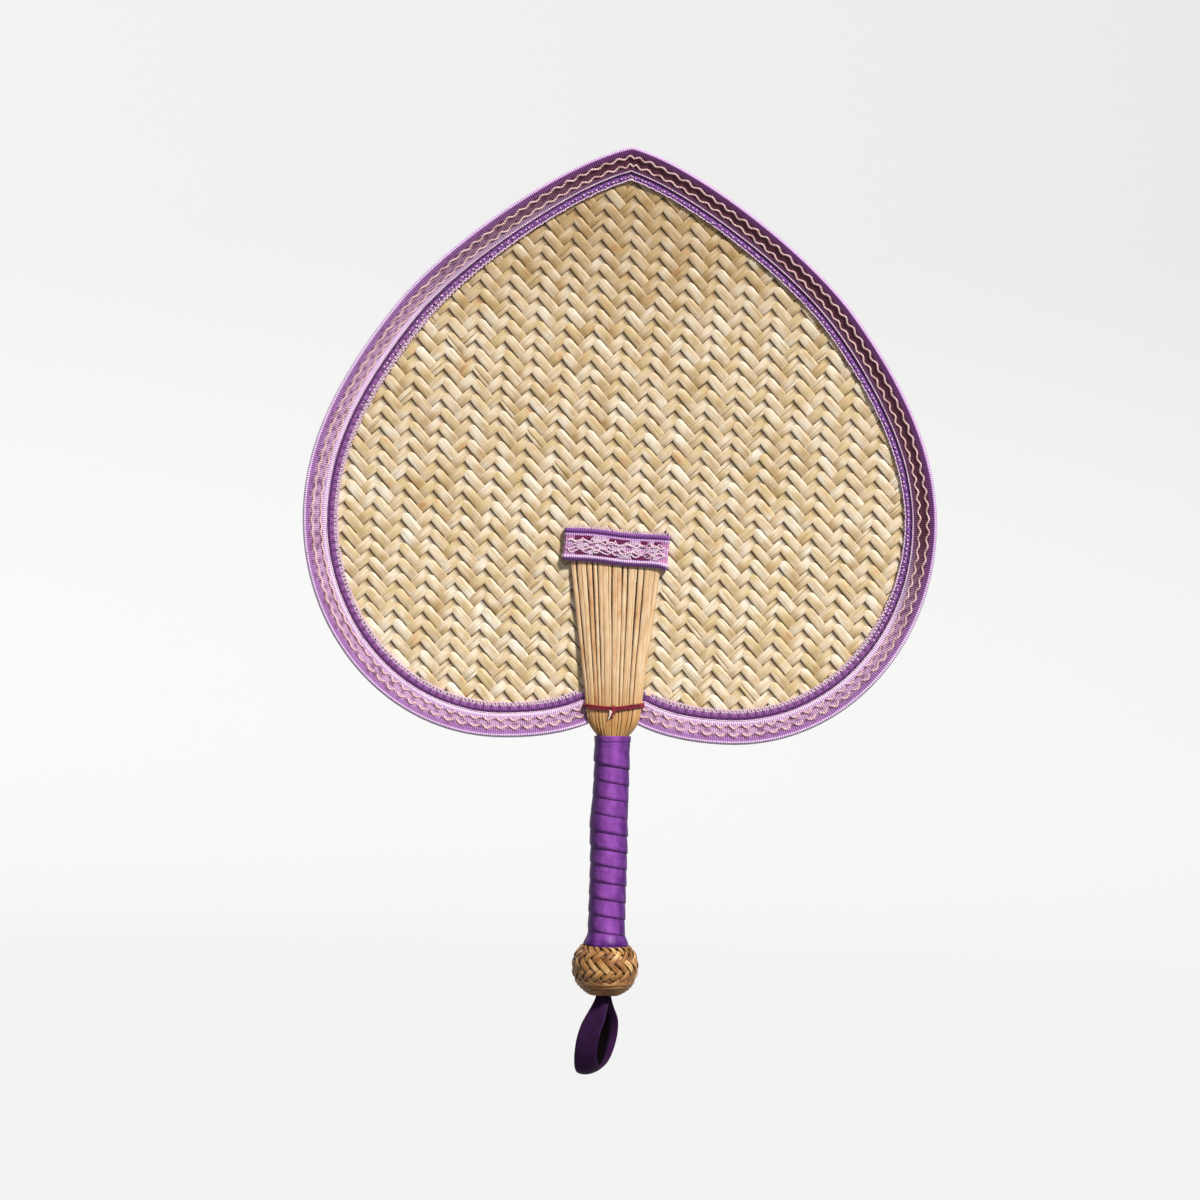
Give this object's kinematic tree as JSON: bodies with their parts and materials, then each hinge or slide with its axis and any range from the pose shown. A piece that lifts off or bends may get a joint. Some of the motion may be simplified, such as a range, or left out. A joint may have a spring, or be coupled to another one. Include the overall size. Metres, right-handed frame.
{
  "type": "woven straw hand fan",
  "caption": "Peach-shaped hand fan of twill-woven straw with a tape-bound rim, straw splints, a ribbon-wrapped handle, a straw knob and a swinging ribbon loop.",
  "frame": {"origin": "middle of the grip, on the handle's axis, where a hand holds the fan", "axes": "+Z along the handle towards the blade's tip, -Y out of the blade's front, +X to the right seen from the front"},
  "size_m": [0.269, 0.0282, 0.3941],
  "materials": {
    "straw": "pale natural straw, satin",
    "splint": "tan straw splints, satin",
    "knob_straw": "golden brown woven straw",
    "cane": "bare cane and bamboo",
    "tape": "purple jacquard tape with cream wave lines",
    "band": "lilac jacquard tape with crimson dashes",
    "ribbon": "purple satin ribbon",
    "thread": "crimson thread"
  },
  "bodies": {
    "fan": {"blade": "straw", "rim_cane": "cane", "edge_binding": "tape", "front_band": "band", "back_band": "band", "tie_thread": "thread", "handle_core": "cane", "handle_wrap": "ribbon", "knob_bead": "cane", "knob_cover": "knob_straw", "loop_anchor": "ribbon", "front_splint_01": "splint", "front_splint_02": "splint", "front_splint_03": "splint", "front_splint_04": "splint", "front_splint_05": "splint", "front_splint_06": "splint", "front_splint_07": "splint", "front_splint_08": "splint", "front_splint_09": "splint", "front_splint_10": "splint", "front_splint_11": "splint", "front_splint_12": "splint", "front_splint_13": "splint", "front_splint_14": "splint", "front_splint_15": "splint", "front_splint_16": "splint", "front_splint_17": "splint", "back_splint_01": "splint", "back_splint_02": "splint", "back_splint_03": "splint", "back_splint_04": "splint", "back_splint_05": "splint", "back_splint_06": "splint", "back_splint_07": "splint", "back_splint_08": "splint", "back_splint_09": "splint", "back_splint_10": "splint", "back_splint_11": "splint", "back_splint_12": "splint", "back_splint_13": "splint", "back_splint_14": "splint", "back_splint_15": "splint", "back_splint_16": "splint", "back_splint_17": "splint"},
    "loop": {"hang_loop": "ribbon"}
  },
  "joints": [
    {"name": "loop_swing", "type": "hinge", "parent": "fan", "child": "loop", "pos_m": [0, 0, -0.0673], "axis": [0.8988, -0.4384, 0], "range_deg": [-70, 70]}
  ]
}
